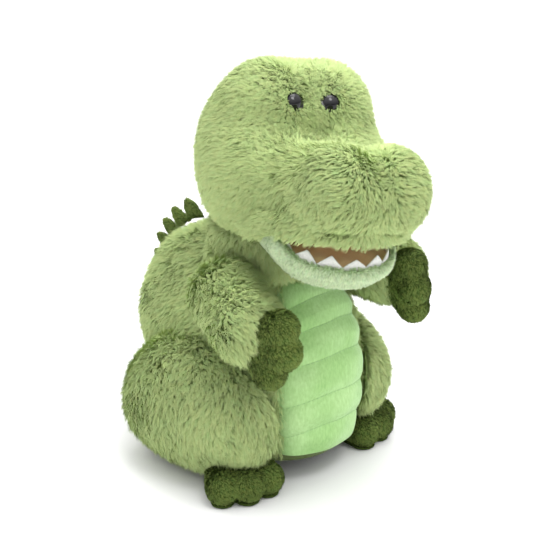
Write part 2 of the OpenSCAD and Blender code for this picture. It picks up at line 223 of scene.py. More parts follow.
def settle(field, points, pitch):
    """Points moved onto the zero surface of a field."""
    for _ in range(3):
        slope = slope_at(field, points, 0.4)
        size = np.maximum((slope ** 2).sum(axis=1), 0.05)
        move = field(points)[:, None] * slope / size[:, None]
        points = points - np.clip(move, -pitch, pitch)
    return points


def new_object(name, data):
    """An object in the scene."""
    obj = bpy.data.objects.new(name, data)
    bpy.context.scene.collection.objects.link(obj)
    return obj


def mesh_object(name, points, faces):
    """A smooth object from points in millimetres and faces as lists of point numbers."""
    mesh = bpy.data.meshes.new(name)
    mesh.from_pydata(((np.asarray(points, float) - LIFT) * MM).tolist(), [], [list(f) for f in faces])
    mesh.validate()
    mesh.shade_smooth()
    return new_object(name, mesh)


def read_points(obj):
    flat = np.zeros(len(obj.data.vertices) * 3, np.float32)
    obj.data.vertices.foreach_get("co", flat)
    return flat.reshape(-1, 3).astype(float) / MM + LIFT


def write_points(obj, points):
    obj.data.vertices.foreach_set("co", ((points - LIFT) * MM).astype(np.float32).ravel())
    obj.data.update()


def read_normals(obj):
    flat = np.zeros(len(obj.data.vertices) * 3, np.float32)
    obj.data.vertex_normals.foreach_get("vector", flat)
    return flat.reshape(-1, 3).astype(float)


def band(faces, a, b, count):
    """Adds the quads between two closed rings of points that start at numbers a and b."""
    for i in range(count):
        j = (i + 1) % count
        faces.append([a + i, a + j, b + j, b + i])


def circle(radius, height, count):
    """Points of a level circle."""
    return [[radius * math.cos(t), radius * math.sin(t), height]
            for t in np.linspace(0, 2 * math.pi, count, endpoint=False)]


def relax(obj, rounds, amount=0.5):
    """Smooths a mesh by moving each point toward the middle of its neighbours."""
    edges = np.zeros(len(obj.data.edges) * 2, np.int32)
    obj.data.edges.foreach_get("vertices", edges)
    edges = edges.reshape(-1, 2)
    points = read_points(obj)
    valence = np.bincount(edges.ravel(), minlength=len(points))[:, None]
    for _ in range(rounds):
        total = np.zeros_like(points)
        np.add.at(total, edges[:, 0], points[edges[:, 1]])
        np.add.at(total, edges[:, 1], points[edges[:, 0]])
        points = points + amount * (total / np.maximum(valence, 1) - points)
    write_points(obj, points)


def soft_copy(name, node, voxel, rounds=4, grow=0.0):
    """A rounded, evenly meshed copy of a CAD node, pushed out or in along its surface."""
    obj = new_object(name, frame["nodes"][node].data.copy())
    remesh = obj.modifiers.new("remesh", "REMESH")
    remesh.mode = "VOXEL"
    remesh.voxel_size = voxel * MM
    remesh.use_smooth_shade = True
    shown = bpy.context.evaluated_depsgraph_get()
    mesh = bpy.data.meshes.new_from_object(obj.evaluated_get(shown))
    obj.modifiers.clear()
    obj.data = mesh
    mesh.name = name
    mesh.materials.clear()
    relax(obj, rounds)
    if grow:
        write_points(obj, read_points(obj) + grow * read_normals(obj))
    return obj


def wobble(points, size, seed, waves=4):
    """Smooth noise from -1 to 1 in three channels, with features of about that size."""
    rng = np.random.default_rng(seed)
    total = np.zeros((len(points), 3))
    for _ in range(waves):
        way = rng.normal(size=(3, 3))
        way /= np.linalg.norm(way, axis=1)[:, None]
        total += np.sin(points @ way.T * (2 * math.pi / size) + rng.uniform(0, 2 * math.pi, 3))
    return total / waves


# -------- materials

class Nodes:
    """Short calls for building a material's nodes."""

    def __init__(self, name):
        self.material = bpy.data.materials.new(name)
        self.material.use_nodes = True
        self.tree = self.material.node_tree
        self.shader = self.tree.nodes["Principled BSDF"]

    def add(self, kind, **values):
        node = self.tree.nodes.new(kind)
        for key, value in values.items():
            if key in node.inputs.keys():
                node.inputs[key].default_value = value
            else:
                setattr(node, key, value)
        return node

    def link(self, start, end):
        self.tree.links.new(start, end)

    def set(self, **values):
        names = {"roughness": "Roughness", "sheen": "Sheen Weight", "sheen_rough": "Sheen Roughness",
                 "coat": "Coat Weight", "coat_rough": "Coat Roughness", "specular": "Specular IOR Level",
                 "subsurface": "Subsurface Weight", "anisotropic": "Anisotropic", "metallic": "Metallic"}
        for key, value in values.items():
            self.shader.inputs[names[key]].default_value = value

    def sheen_tint(self, colour):
        self.shader.inputs["Sheen Tint"].default_value = (*colour, 1)

    def noise(self, scale, detail=3.0, rough=0.55, stretch=None, vector=None):
        coords = vector or self.add("ShaderNodeTexCoord").outputs["Object"]
        if stretch:
            squeeze = self.add("ShaderNodeMapping")
            squeeze.inputs["Scale"].default_value = stretch
            self.link(coords, squeeze.inputs["Vector"])
            coords = squeeze.outputs["Vector"]
        node = self.add("ShaderNodeTexNoise", Scale=scale, Detail=detail, Roughness=rough)
        self.link(coords, node.inputs["Vector"])
        return node.outputs["Fac"]

    def ramp(self, fac, stops):
        node = self.add("ShaderNodeValToRGB")
        elements = node.color_ramp.elements
        while len(elements) < len(stops):
            elements.new(0.5)
        for element, (position, colour) in zip(elements, stops):
            element.position = position
            element.color = (*colour, 1)
        self.link(fac, node.inputs["Fac"])
        return node.outputs["Color"]

    def maths(self, operation, a, b=0.5):
        node = self.add("ShaderNodeMath", operation=operation)
        for socket, value in zip(node.inputs, (a, b)):
            if isinstance(value, (int, float)):
                socket.default_value = value
            else:
                self.link(value, socket)
        return node.outputs["Value"]

    def mix(self, fac, a, b, blend="MIX"):
        node = self.add("ShaderNodeMix", data_type="RGBA", blend_type=blend)
        for socket, value in ((node.inputs["Factor"], fac), (node.inputs[6], a), (node.inputs[7], b)):
            if isinstance(value, (int, float)):
                socket.default_value = value
            elif isinstance(value, tuple):
                socket.default_value = (*value, 1)
            else:
                self.link(value, socket)
        return node.outputs[2]

    def colour(self, output):
        self.link(output, self.shader.inputs["Base Color"])
        return self

    def bump(self, height, distance, strength=1.0):
        node = self.add("ShaderNodeBump", Distance=distance * MM, Strength=strength)
        self.link(height, node.inputs["Height"])
        self.link(node.outputs["Normal"], self.shader.inputs["Normal"])
        return self


def pile_material(name, root, middle, tip, value_spread=0.5, roughness=0.75, sheen=0.25):
    """Fibre colour from root to tip, lighter or darker from one strand to the next; the darker roots are
    painted shade deep in the pile.
    """
    m = Nodes(name)
    pile = m.add("ShaderNodeAttribute", attribute_name="pile")
    parts = m.add("ShaderNodeSeparateColor")
    m.link(pile.outputs["Color"], parts.inputs["Color"])
    # the root colour is painted shade deep in the pile, lightening along the strand to the tip
    along = m.ramp(parts.outputs["Red"], [(0.0, root), (0.45, middle), (1.0, tip)])
    value = m.maths("MULTIPLY_ADD", parts.outputs["Green"], value_spread)
    value.node.inputs[2].default_value = 1 - value_spread / 2
    shade = m.add("ShaderNodeHueSaturation")
    m.link(along, shade.inputs["Color"])
    m.link(value, shade.inputs["Value"])
    hue = m.maths("MULTIPLY_ADD", parts.outputs["Blue"], 0.04)
    hue.node.inputs[2].default_value = 0.48
    m.link(hue, shade.inputs["Hue"])
    m.colour(shade.outputs["Color"])
    m.set(roughness=roughness, sheen=sheen, sheen_rough=0.5, specular=0.25)
    m.sheen_tint(tip)
    return m.material


def backing_material(name, dark, light):
    """The knitted ground that pile stands on, coloured dark like the pile's roots: painted shade under the
    pile.
    """
    m = Nodes(name)
    m.colour(m.ramp(m.noise(900, 4), [(0.35, dark), (0.7, light)]))
    m.bump(m.noise(1400, 2), 0.3)
    m.set(roughness=0.9, sheen=0.2, specular=0.1)
    m.sheen_tint(light)
    return m.material


def minky_material():
    """Smooth short-pile belly plush: bright, a little mottled where the nap lies differently."""
    m = Nodes("belly minky")
    broad = m.ramp(m.noise(38, 2, 0.4), [(0.3, (0.38, 0.62, 0.24)), (0.7, (0.50, 0.73, 0.34))])
    nap = m.ramp(m.noise(700, 4, 0.6, stretch=(1, 1, 0.35)), [(0.3, (0.72, 0.8, 0.70)), (0.75, (1, 1, 1))])
    m.colour(m.mix(1.0, broad, nap, "MULTIPLY"))
    m.bump(m.noise(1500, 3, 0.6, stretch=(1, 1, 0.4)), 0.25)
    m.set(roughness=0.8, sheen=0.5, sheen_rough=0.4, specular=0.2)
    m.sheen_tint((0.8, 1.0, 0.75))
    return m.material


def satin_material():
    """Woven satin: fine threads across, soft stretched gloss."""
    m = Nodes("mouth satin")
    coords = m.add("ShaderNodeTexCoord").outputs["Object"]
    threads = m.add("ShaderNodeTexWave", wave_type="BANDS", bands_direction="X", Scale=900.0,
                    Distortion=1.2, Detail=1.0)
    m.link(coords, threads.inputs["Vector"])
    tone = m.ramp(m.noise(60, 3, 0.5), [(0.3, (0.90, 0.62, 0.36)), (0.7, (0.98, 0.74, 0.48))])
    lines = m.ramp(threads.outputs["Fac"], [(0.2, (0.88, 0.88, 0.88)), (0.8, (1, 1, 1))])
    m.colour(m.mix(1.0, tone, lines, "MULTIPLY"))
    m.bump(threads.outputs["Fac"], 0.05, 0.5)
    m.set(roughness=0.42, sheen=0.3, specular=0.5, anisotropic=0.4)
    m.sheen_tint((1.0, 0.85, 0.7))
    return m.material


def felt_material():
    """Pressed white felt: matted fibres with a faint grey mottle."""
    m = Nodes("white felt")
    m.colour(m.ramp(m.noise(500, 5, 0.7), [(0.3, (0.72, 0.72, 0.70)), (0.65, (0.90, 0.90, 0.87))]))
    m.bump(m.noise(1300, 4, 0.7), 0.2)
    m.set(roughness=0.95, sheen=0.4, specular=0.1)
    return m.material


def weave_material(name, dark, light, threads=1100.0):
    """Plain woven cloth: warp and weft threads crossing."""
    m = Nodes(name)
    coords = m.add("ShaderNodeTexCoord").outputs["Object"]
    heights = []
    for way in ("X", "Z"):
        wave = m.add("ShaderNodeTexWave", wave_type="BANDS", bands_direction=way, Scale=threads,
                     Distortion=0.6, Detail=1.0)
        m.link(coords, wave.inputs["Vector"])
        heights.append(wave.outputs["Fac"])
    cloth = m.maths("MULTIPLY", heights[0], heights[1])
    tone = m.ramp(m.noise(90, 3), [(0.3, dark), (0.7, light)])
    lines = m.ramp(cloth, [(0.0, (0.75, 0.75, 0.75)), (0.8, (1, 1, 1))])
    m.colour(m.mix(1.0, tone, lines, "MULTIPLY"))
    m.bump(cloth, 0.12, 0.7)
    m.set(roughness=0.88, sheen=0.2, specular=0.15)
    return m.material


def stuffing_material():
    m = Nodes("loose fibrefill")
    m.colour(m.ramp(m.noise(160, 6, 0.75), [(0.3, (0.62, 0.62, 0.60)), (0.62, (0.9, 0.9, 0.88))]))
    m.bump(m.noise(220, 6, 0.8), 1.5)
    m.set(roughness=1.0, sheen=0.5, specular=0.05)
    return m.material


def board_material(name, dark, light, roughness):
    m = Nodes(name)
    m.colour(m.ramp(m.noise(300, 5, 0.7), [(0.35, dark), (0.65, light)]))
    m.bump(m.noise(600, 3), 0.06)
    m.set(roughness=roughness, specular=0.35)
    return m.material


def eye_material():
    """Polished black plastic dome, dark brown deep inside."""
    m = Nodes("black eye")
    m.colour(m.ramp(m.noise(150, 2), [(0.4, (0.004, 0.004, 0.005)), (0.8, (0.012, 0.011, 0.013))]))
    m.set(roughness=0.12, coat=0.3, coat_rough=0.05, specular=0.3)
    return m.material


def thread_material(name, dark, light):
    m = Nodes(name)
    m.colour(m.ramp(m.noise(900, 2), [(0.35, dark), (0.7, light)]))
    m.set(roughness=0.7, sheen=0.2)
    return m.material


# the first colour of each pile is its root, painted dark as the shade deep inside the pile
GREEN_PILE = pile_material("long green pile", (0.28, 0.38, 0.12), (0.42, 0.55, 0.20), (0.58, 0.70, 0.31),
                           value_spread=0.26)
# the backings are painted dark like the pile roots, as the shade under their pile
GREEN_BACK = backing_material("green backing", (0.26, 0.36, 0.12), (0.34, 0.46, 0.17))
OLIVE_PILE = pile_material("short olive pile", (0.035, 0.06, 0.01), (0.09, 0.14, 0.025), (0.22, 0.30, 0.07),
                           value_spread=0.9, sheen=0.3)
OLIVE_BACK = backing_material("olive backing", (0.03, 0.05, 0.01), (0.07, 0.11, 0.02))
MINT_PILE = pile_material("short mint pile", (0.36, 0.52, 0.24), (0.54, 0.72, 0.38), (0.76, 0.88, 0.60))
MINT_BACK = backing_material("mint backing", (0.34, 0.52, 0.22), (0.46, 0.64, 0.32))
MINKY = minky_material()
SATIN = satin_material()
FELT = felt_material()
LINING = weave_material("sleeve cloth", (0.42, 0.46, 0.36), (0.56, 0.60, 0.50))
BINDING = weave_material("hem cloth", (0.09, 0.13, 0.03), (0.15, 0.20, 0.06))
STUFFING = stuffing_material()
BOARD = board_material("grey board", (0.34, 0.32, 0.27), (0.46, 0.44, 0.38), 0.8)
WASHER = board_material("moulded washer", (0.66, 0.66, 0.64), (0.78, 0.78, 0.76), 0.4)
EYE = eye_material()
THREAD = thread_material("mint thread", (0.26, 0.46, 0.18), (0.36, 0.58, 0.25))


def finish_piece(obj, material, body, replaces=()):
    """Gives a piece its material, its body and the CAD nodes that it stands for."""
    obj.data.materials.clear()
    obj.data.materials.append(material)
    if body:
        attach(obj, body)
    if replaces:
        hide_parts(*replaces)
    return obj


# -------- pile

def unit(v):
    return v / np.maximum(np.linalg.norm(v, axis=1), 1e-9)[:, None]


def scatter(skin, count, keep, rng):
    """Points and normals spread evenly over a skin, thinned by keep(points, normals)."""
    mesh = skin.data
    mesh.calc_loop_triangles()
    corners = np.zeros(len(mesh.loop_triangles) * 3, np.int32)
    mesh.loop_triangles.foreach_get("vertices", corners)
    corners = corners.reshape(-1, 3)
    points, normals = read_points(skin), read_normals(skin)
    if keep is not None:
        wanted = keep(points, normals)[corners].mean(axis=1)
    else:
        wanted = np.ones(len(corners))
    a, b, c = (points[corners[:, i]] for i in range(3))
    area = np.linalg.norm(np.cross(b - a, c - a), axis=1) / 2 * wanted
    pick = np.searchsorted(np.cumsum(area) / area.sum(), rng.random(count)).clip(0, len(area) - 1)
    u, v = rng.random(count), rng.random(count)
    over = u + v > 1
    u[over], v[over] = 1 - u[over], 1 - v[over]
    shares = np.stack([1 - u - v, u, v], axis=1)[:, :, None]
    return ((points[corners[pick]] * shares).sum(axis=1),
            unit((normals[corners[pick]] * shares).sum(axis=1)))


def nearest_clumps(roots, count, rng):
    """For each root, the number of the nearest clump centre, and the centres' numbers."""
    centres = rng.choice(len(roots), size=min(count, len(roots)), replace=False)
    tree = KDTree(len(centres))
    for i, c in enumerate(centres):
        tree.insert(roots[c], i)
    tree.balance()
    return np.array([tree.find(p)[1] for p in roots]), centres


def grow_pile(name, skin, material, body, slot, flow, length, density, width=0.36, lean=50, seed=1,
              keep=None, strands_per_clump=9, clumping=0.34, stray=0.5, swirl=0.6, swirl_size=26):
    """Strands of pile on a skin, as one mesh of tapering ribbons.

    flow(points) is the way the pile lies. length is in millimetres, a number or a function of the
    roots. lean is the angle in degrees between the pile and straight out.
    """
    rng = np.random.default_rng(seed)
    area = sum(p.area for p in skin.data.polygons) / MM ** 2
    count = int(min(STRANDS_MOST, area * density) * (1))
    roots, normals = scatter(skin, count, keep, rng)
    clump, centres = nearest_clumps(roots, max(count // strands_per_clump, 1), rng)
    clumps = len(centres)
    way = unit(flow(roots)) + swirl * wobble(roots, swirl_size, seed + 1)
    way += (0.26 * rng.normal(size=(clumps, 3)))[clump] + 0.25 * stray * rng.normal(size=(count, 3))
    way -= (way * normals).sum(axis=1)[:, None] * normals
    way = unit(way)
    tilt = np.radians(lean + (9 * rng.normal(size=clumps))[clump] + 10 * stray * rng.normal(size=count))
    tilt = np.clip(tilt, 0.15, 1.35)[:, None]
    long = (length(roots) if callable(length) else np.full(count, float(length)))[:, None]
    long = long * (1 + 0.08 * rng.normal(size=clumps))[clump][:, None] * rng.uniform(0.72, 1.1, (count, 1))
    low = normals * np.cos(tilt * 0.45) + way * np.sin(tilt * 0.45)
    high = normals * np.cos(tilt * 1.35) + way * np.sin(tilt * 1.35)
    start = roots - STRAND_ROOT * normals
    bend = start + 0.5 * long * low
    tip = bend + 0.5 * long * high
    pull = clumping * rng.uniform(0.5, 1.0, (count, 1))
    tip += pull * (tip[centres][clump] - tip)
    bend += 0.35 * pull * (bend[centres][clump] - bend)
    twist = rng.normal(size=(count, 1)) * 0.5
    side = unit(np.cross(high, normals))
    side = side * np.cos(twist) + np.cross(unit(high), side) * np.sin(twist)
    half = width / 2 * rng.uniform(0.7, 1.2, (count, 1))
    points = np.stack([start - side * half, start + side * half, bend + side * half * 0.85,
                       bend - side * half * 0.85, tip], axis=1)
    points[:, :, 2] = np.maximum(points[:, :, 2], STRAND_LOWEST)
    round_off = 0.45 * side
    shading = np.stack([normals - round_off, normals + round_off, normals + round_off, normals - round_off,
                        normals + 0.3 * way], axis=1).reshape(-1, 3)
    tint = 0.5 + 0.10 * rng.normal(size=clumps)[clump] + 0.12 * rng.normal(size=count)
    tint += 0.2 * wobble(roots, 40, seed + 2)[:, 0]
    warm = np.clip(0.5 + 0.2 * rng.normal(size=clumps)[clump] + 0.1 * rng.normal(size=count), 0, 1)
    return ribbon_mesh(name, points, unit(shading), np.clip(tint, 0, 1), warm, material, body)


def ribbon_mesh(name, points, shading, tint, warm, material, body):
    """One mesh of five-point ribbons: a quad and a tip triangle each."""
    count = len(points)
    mesh = bpy.data.meshes.new(name)
    base = 5 * np.arange(count)[:, None]
    loops = (base + np.array([0, 1, 2, 3, 3, 2, 4])).ravel()
    mesh.vertices.add(5 * count)
    mesh.vertices.foreach_set("co", ((points - LIFT) * MM).astype(np.float32).ravel())
    mesh.loops.add(7 * count)
    mesh.loops.foreach_set("vertex_index", loops.astype(np.int32))
    mesh.polygons.add(2 * count)
    starts = (7 * np.arange(count)[:, None] + np.array([0, 4])).ravel()
    mesh.polygons.foreach_set("loop_start", starts.astype(np.int32))
    mesh.update(calc_edges=True)
    # place along the strand; the pile material turns it into painted shade toward the root
    along = np.tile([0.0, 0.0, 0.5, 0.5, 1.0], count)
    shades = np.stack([along, np.repeat(tint, 5), np.repeat(warm, 5), np.ones(5 * count)], axis=1)
    attribute = mesh.attributes.new("pile", "FLOAT_COLOR", "POINT")
    attribute.data.foreach_set("color", shades.astype(np.float32).ravel())
    across = np.array([-1, 1, 1, -1, -1, 1, 0]) * 0.004
    u = np.repeat(tint, 7) * 0.98 + 0.01 + np.tile(across, count)
    v = along[loops] * 0.96 + 0.02
    chart = mesh.uv_layers.new(name="OFBake")
    chart.data.foreach_set("uv", np.stack([u, v], axis=1).astype(np.float32).ravel())
    mesh.shade_smooth()
    mesh.normals_split_custom_set_from_vertices(shading.tolist())
    return finish_piece(new_object(name, mesh), material, body)


def grow_short_pile(name, skin, body, flow, length, density, width=0.42, lean=42, **more):
    """The olive pile of the paws, feet and scutes."""
    grow_pile(name, skin, OLIVE_PILE, body, "plush_olive", flow, length, density, width=width, lean=lean,
              swirl=0.35, swirl_size=12, **more)


def facing_out(p, n):
    """How much each normal points away from the middle axis."""
    return (p * n)[:, :2].sum(axis=1) / np.maximum(np.hypot(p[:, 0], p[:, 1]), 1)


def steady(x, y, z):
    """A flow that is the same everywhere."""
    return lambda p: np.tile(np.array([x, y, z], float), (len(p), 1))


# -------- torso

def polar_sheet(name, angles, heights, outer, inner, rise=0.0):
    """A closed curved panel between two radii; both are functions of the angle and the height.

    The top edge stands higher by rise at the back.
    """
    a, z = np.meshgrid(angles, heights, indexing="ij")
    z = z + rise * np.clip(np.sin(a), 0, 1) * (z - heights[0]) / (heights[-1] - heights[0])
    walls = [np.stack([radius * np.cos(a), radius * np.sin(a), z], axis=-1)
             for radius in (outer(a, z), inner(a, z))]
    return mesh_object(name, *two_layers(*walls))


def two_layers(front, back):
    """Points and faces of a closed sheet between two grids of points, joined round their rim."""
    rows, columns = front.shape[:2]
    size = rows * columns
    number = np.arange(size).reshape(rows, columns)
    faces = []
    for i in range(rows - 1):
        for j in range(columns - 1):
            quad = [number[i, j], number[i + 1, j], number[i + 1, j + 1], number[i, j + 1]]
            faces.append(quad)
            faces.append([size + q for q in reversed(quad)])
    rim = [*number[:, 0], *number[-1, 1:], *number[-2::-1, -1], *number[0, -2:0:-1]]
    for p, q in zip(rim, rim[1:] + rim[:1]):
        faces.append([q, p, p + size, q + size])
    return np.concatenate([front.reshape(-1, 3), back.reshape(-1, 3)]), faces


def belly_radius(a, z):
    """Outside of the belly: puffed between the stitched lines and drawn in at the side seams."""
    across = (a + math.pi / 2) / BELLY_HALF
    stitched = np.min([np.abs(z - line + CHANNEL_DROP * across ** 2) for line in BELLY_CHANNELS], axis=0)
    puff = 2.6 * (1 - np.exp(-(stitched / 5.0) ** 1.3)) - 1.8
    seam = 5.0 * np.clip(np.abs(across), 0, 1) ** 7
    fold = 0.8 * np.sin(a * 7 + z * 0.13) * np.sin(z * 0.21 - a * 3) * (1 - np.abs(across) ** 2)
    return torso_out(z) + puff + fold - seam + 1.0


def belly():
    angles = np.linspace(-math.pi / 2 - BELLY_HALF - 0.05, -math.pi / 2 + BELLY_HALF + 0.05, 150)
    heights = np.linspace(HEM_Z, TORSO_TOP + 2, 220)
    panel = polar_sheet("belly_plush", angles, heights, belly_radius,
                        lambda a, z: np.maximum(torso_out(z) - COVER_T - 1, sleeve_in(z) + 1.6))
    finish_piece(panel, MINKY, "body", ["belly_panel"])
    stitch_rows()


def stitch_rows():
    """Short thread stitches sunk in the belly's channels."""
    points, faces = [], []
    for line in BELLY_CHANNELS:
        for a in np.arange(-math.pi / 2 - 0.74, -math.pi / 2 + 0.74, 0.062):
            ends = []
            for b in (a, a + 0.036):
                across = (b + math.pi / 2) / BELLY_HALF
                z = line - CHANNEL_DROP * across ** 2
                r = belly_radius(np.array(b), np.array(z)) + 0.1
                ends.append(np.array([r * math.cos(b), r * math.sin(b), z]))
            add_capsule(points, faces, ends[0], ends[1], 0.28)
    rows = mesh_object("belly_stitches", np.array(points), faces)
    finish_piece(rows, THREAD, "body")


def add_capsule(points, faces, a, b, radius, sides=6):
    """A rounded bar between two points, added to lists of points and faces."""
    way = unit((b - a)[None])[0]
    out = unit(np.cross(way, [0.1, 0.2, 1.0])[None])[0]
    up = np.cross(way, out)
    first = len(points)
    rings = [(a - way * radius, 0.05), (a - way * radius * 0.5, 0.8), (a, 1), (b, 1),
             (b + way * radius * 0.5, 0.8), (b + way * radius, 0.05)]
    for centre, share in rings:
        for i in range(sides):
            t = 2 * math.pi * i / sides
            points.append(centre + radius * share * (math.cos(t) * out + math.sin(t) * up))
    for k in range(len(rings) - 1):
        band(faces, first + k * sides, first + (k + 1) * sides, sides)
    faces.append([first + i for i in reversed(range(sides))])
    faces.append([first + (len(rings) - 1) * sides + i for i in range(sides)])


def pad_radius(a, z):
    """Distance from the middle axis to the deep back, a squared-off egg, in the direction a."""
    low, high = np.zeros_like(a + z), np.full_like(a + z, 1.05 * BACK_DEPTH)
    half_w = BACK_HALF_W - BACK_TAPER * np.clip((z - 88) / 45, 0, 1)
    for _ in range(18):
        r = (low + high) / 2
        depth = np.clip(r * np.sin(a) / BACK_DEPTH, 0, 1)
        taper = (1 - depth ** 3) ** (2 / 3)
        outside = (r * np.cos(a) / half_w) ** 2 + ((z - BACK_MID_Z) / BACK_HALF_H) ** 2 > taper
        low, high = np.where(outside, low, r), np.where(outside, r, high)
    return np.where(np.sin(a) > 0, low, 0)


def back_crest(a):
    """Height of the top edge of the back."""
    return TORSO_TOP + 1 + BACK_RISE * np.clip(np.sin(a), 0, 1)


def back_radius(a, z):
    """Outside of the plush backing on the back: the torso, and the deep pad behind it."""
    pad, torso = pad_radius(a, z), torso_out(z)
    soft = 14.0
    share = np.clip(0.5 + 0.5 * (pad - torso) / soft, 0, 1)
    radius = torso * (1 - share) + pad * share + soft * share * (1 - share)
    centre_seam = 3.0 * np.exp(-(np.abs(a - math.pi / 2) * radius / 7) ** 1.5)
    radius = radius - 3.4 - centre_seam + 0.8 * np.sin(3 * a + 0.09 * z)
    inside = back_inside(a, z) + 1.5
    crown = np.clip((z - back_crest(a) + 20) / 20, 0, 1)
    rounded = inside + (radius - inside) * np.sqrt(np.maximum(1 - crown ** 2, 0.02))
    return np.maximum(np.where(np.sin(a) > 0, rounded, radius), inside)


def back_inside(a, z):
    """Inside of the back: clear of the sleeve below and of the turning neck above."""
    low = np.maximum(torso_out(z) - COVER_T - 3, sleeve_in(np.minimum(z, TORSO_TOP)) + 1.6)
    return np.where(z > TORSO_TOP + 1, float(NECK_HOLE_R), low)


def back(side):
    """One side of the back: a plush panel and its pile."""
    seam = 0.008
    name = side_name(side)
    if side < 0:
        angles = np.linspace(math.pi / 2 + seam, 1.5 * math.pi - BELLY_HALF, 120)
    else:
        angles = np.linspace(-math.pi / 2 + BELLY_HALF, math.pi / 2 - seam, 120)
    heights = np.linspace(HEM_Z, TORSO_TOP + 1, 100)
    panel = polar_sheet(f"back_plush_{name}", angles, heights, back_radius, back_inside, rise=BACK_RISE)
    nodes = [f"back_panel_{name}"] + (["back_pad"] if side < 0 else [])
    finish_piece(panel, GREEN_BACK, "body", nodes)

    def keep(p, n):
        return ((facing_out(p, n) > 0.1) | ((n[:, 2] > 0.3) & (p[:, 2] > 100))) * 1.0

    grow_pile(f"back_pile_{name}", panel, GREEN_PILE, "body", "plush_green", steady(0, 0.15, -1),
              8.0, 3.4, lean=48, seed=11 if side < 0 else 12, keep=keep)


# -------- legs and tail

def side_name(side):
    return "right" if side < 0 else "left"


def haunch(side):
    name = side_name(side)
    skin = soft_copy(f"haunch_plush_{name}", f"haunch_{name}", 3.0, rounds=5, grow=-4.0)
    finish_piece(skin, GREEN_BACK, "body", [f"haunch_{name}"])
    low, high = (np.array(v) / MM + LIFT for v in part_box(f"haunch_{name}"))

    def keep(p, n):
        inside = np.hypot(p[:, 0], p[:, 1]) < torso_out(p[:, 2]) - 1.5
        return np.where(inside | ((n[:, 2] < -0.75) & (p[:, 2] < low[2] + 8)), 0.0, 1.0)

    def flow(p):
        front = np.clip((p[:, 1] - low[1]) / (high[1] - low[1]), 0, 1)
        return np.stack([0.15 * side * np.ones(len(p)), -0.9 * front, -0.5 - 0.6 * (1 - front)], axis=1)

    for half, part in ((0, "front"), (1, "rear")):
        middle = (low[1] + high[1]) / 2

        def keep_half(p, n, half=half):
            return keep(p, n) * ((p[:, 1] > middle) == bool(half))

        grow_pile(f"haunch_pile_{part}_{name}", skin, GREEN_PILE, "body", "plush_green", flow, 8.5, 2.4,
                  lean=50, seed=20 + 2 * half + (side > 0), keep=keep_half, swirl=0.5, swirl_size=34)


def foot(side):
    name = side_name(side)
    skin = soft_copy(f"foot_plush_{name}", f"foot_{name}", 1.3, rounds=2, grow=-0.4)
    finish_piece(skin, OLIVE_BACK, "body", [f"foot_{name}"])

    def keep(p, n):
        return ((n[:, 2] > -0.8) | (p[:, 2] > 5)) * 1.0

    grow_short_pile(f"foot_pile_{name}", skin, "body", steady(0, -0.6, -0.5), 2.4, 5.5,
                    seed=31 + (side > 0), keep=keep)
    sole = soft_copy(f"sole_felt_{name}", f"sole_{name}", 0.7, rounds=2)
    finish_piece(sole, OLIVE_BACK, "body", [f"sole_{name}"])


def tail():
    skin = soft_copy("tail_plush", "tail_cover", 2.6, rounds=4, grow=-3.0)
    finish_piece(skin, GREEN_BACK, "tail", ["tail_cover"])

    def keep(p, n):
        return ((n[:, 2] > -0.8) | (p[:, 2] > 8)) * 1.0

    def length(p):
        return 8.0 - 3.5 * np.clip((p[:, 1] - 96) / 50, 0, 1)

    grow_pile("tail_pile", skin, GREEN_PILE, "tail", "plush_green", steady(0, 1, -0.5), length, 3.2,
              lean=50, seed=41, keep=keep)


# -------- arms and neck

def arm(side):
    name = side_name(side)
    body = f"arm_{name}"
    skin = soft_copy(f"arm_plush_{name}", f"arm_{name}", 2.4, rounds=2, grow=-0.6)
    points = read_points(skin)
    along = np.linalg.norm(points - np.array(JOINTS[f"{body}_swing"]["pos_m"]) / MM - LIFT, axis=1)
    fatter = 4.2 * np.clip((along - 16) / 22, 0, 1)
    write_points(skin, points + fatter[:, None] * read_normals(skin))
    finish_piece(skin, GREEN_BACK, body, [f"arm_{name}"])
    grow_pile(f"arm_pile_{name}", skin, GREEN_PILE, body, "plush_green",
              steady(0.25 * -side, -0.75, -0.7), 8.0, 7.5, lean=50, seed=51 + (side > 0), swirl=0.5)
    paw_skin = soft_copy(f"paw_plush_{name}", f"paw_{name}", 1.2, rounds=1, grow=0.6)
    finish_piece(paw_skin, OLIVE_BACK, body, [f"paw_{name}"])
    grow_short_pile(f"paw_pile_{name}", paw_skin, body, steady(0.2 * -side, -0.5, -0.6), 2.4, 6.5,
                    seed=61 + (side > 0))


def neck():
    skin = soft_copy("neck_plush", "neck_roll", 2.6, rounds=4, grow=1.0)
    finish_piece(skin, GREEN_BACK, "neck", ["neck_roll"])

    def keep(p, n):
        front = (p[:, 1] < -22) & (np.abs(p[:, 0]) < 24)
        return (facing_out(p, n) > 0.1) * np.where(front, 0.25, 1.0)

    grow_pile("neck_pile", skin, GREEN_PILE, "neck", "plush_green", steady(0, 0, -1), 8.5, 4.5,
              lean=42, seed=71, keep=keep)


# -------- head

def mouth_plan(p):
    """How far each point lies outside the mouth's outline, seen from above."""
    arc_y = HINGE[1] - (MOUTH_LEN - MOUTH_ROUND * MOUTH_HALF_W)
    ahead = np.maximum(0, arc_y - p[:, 1]) / MOUTH_ROUND
    return np.hypot(p[:, 0], ahead) - MOUTH_HALF_W


def lip_roll(p):
    """Field of the soft roll that hangs round the upper mouth and sinks toward its corners."""
    corner = np.clip((p[:, 1] + 74) / 30, 0, 1)
    roll = np.hypot(mouth_plan(p) + 3.5, p[:, 2] - LIP_MID_Z + LIP_SINK * corner) - LIP_R
    return np.maximum(roll, p[:, 1] - HINGE[1] - 8)


def mouth_space(p):
    """Field of the room under the upper mouth, in the upright head."""
    back_y = HINGE[1] + 6
    plan = mouth_plan(p)
    lip = LIP_DROP * np.clip((plan + 12) / 5, 0, 1)
    return np.maximum.reduce([plan, p[:, 1] - back_y, p[:, 2] - MOUTH_ROOF + lip])


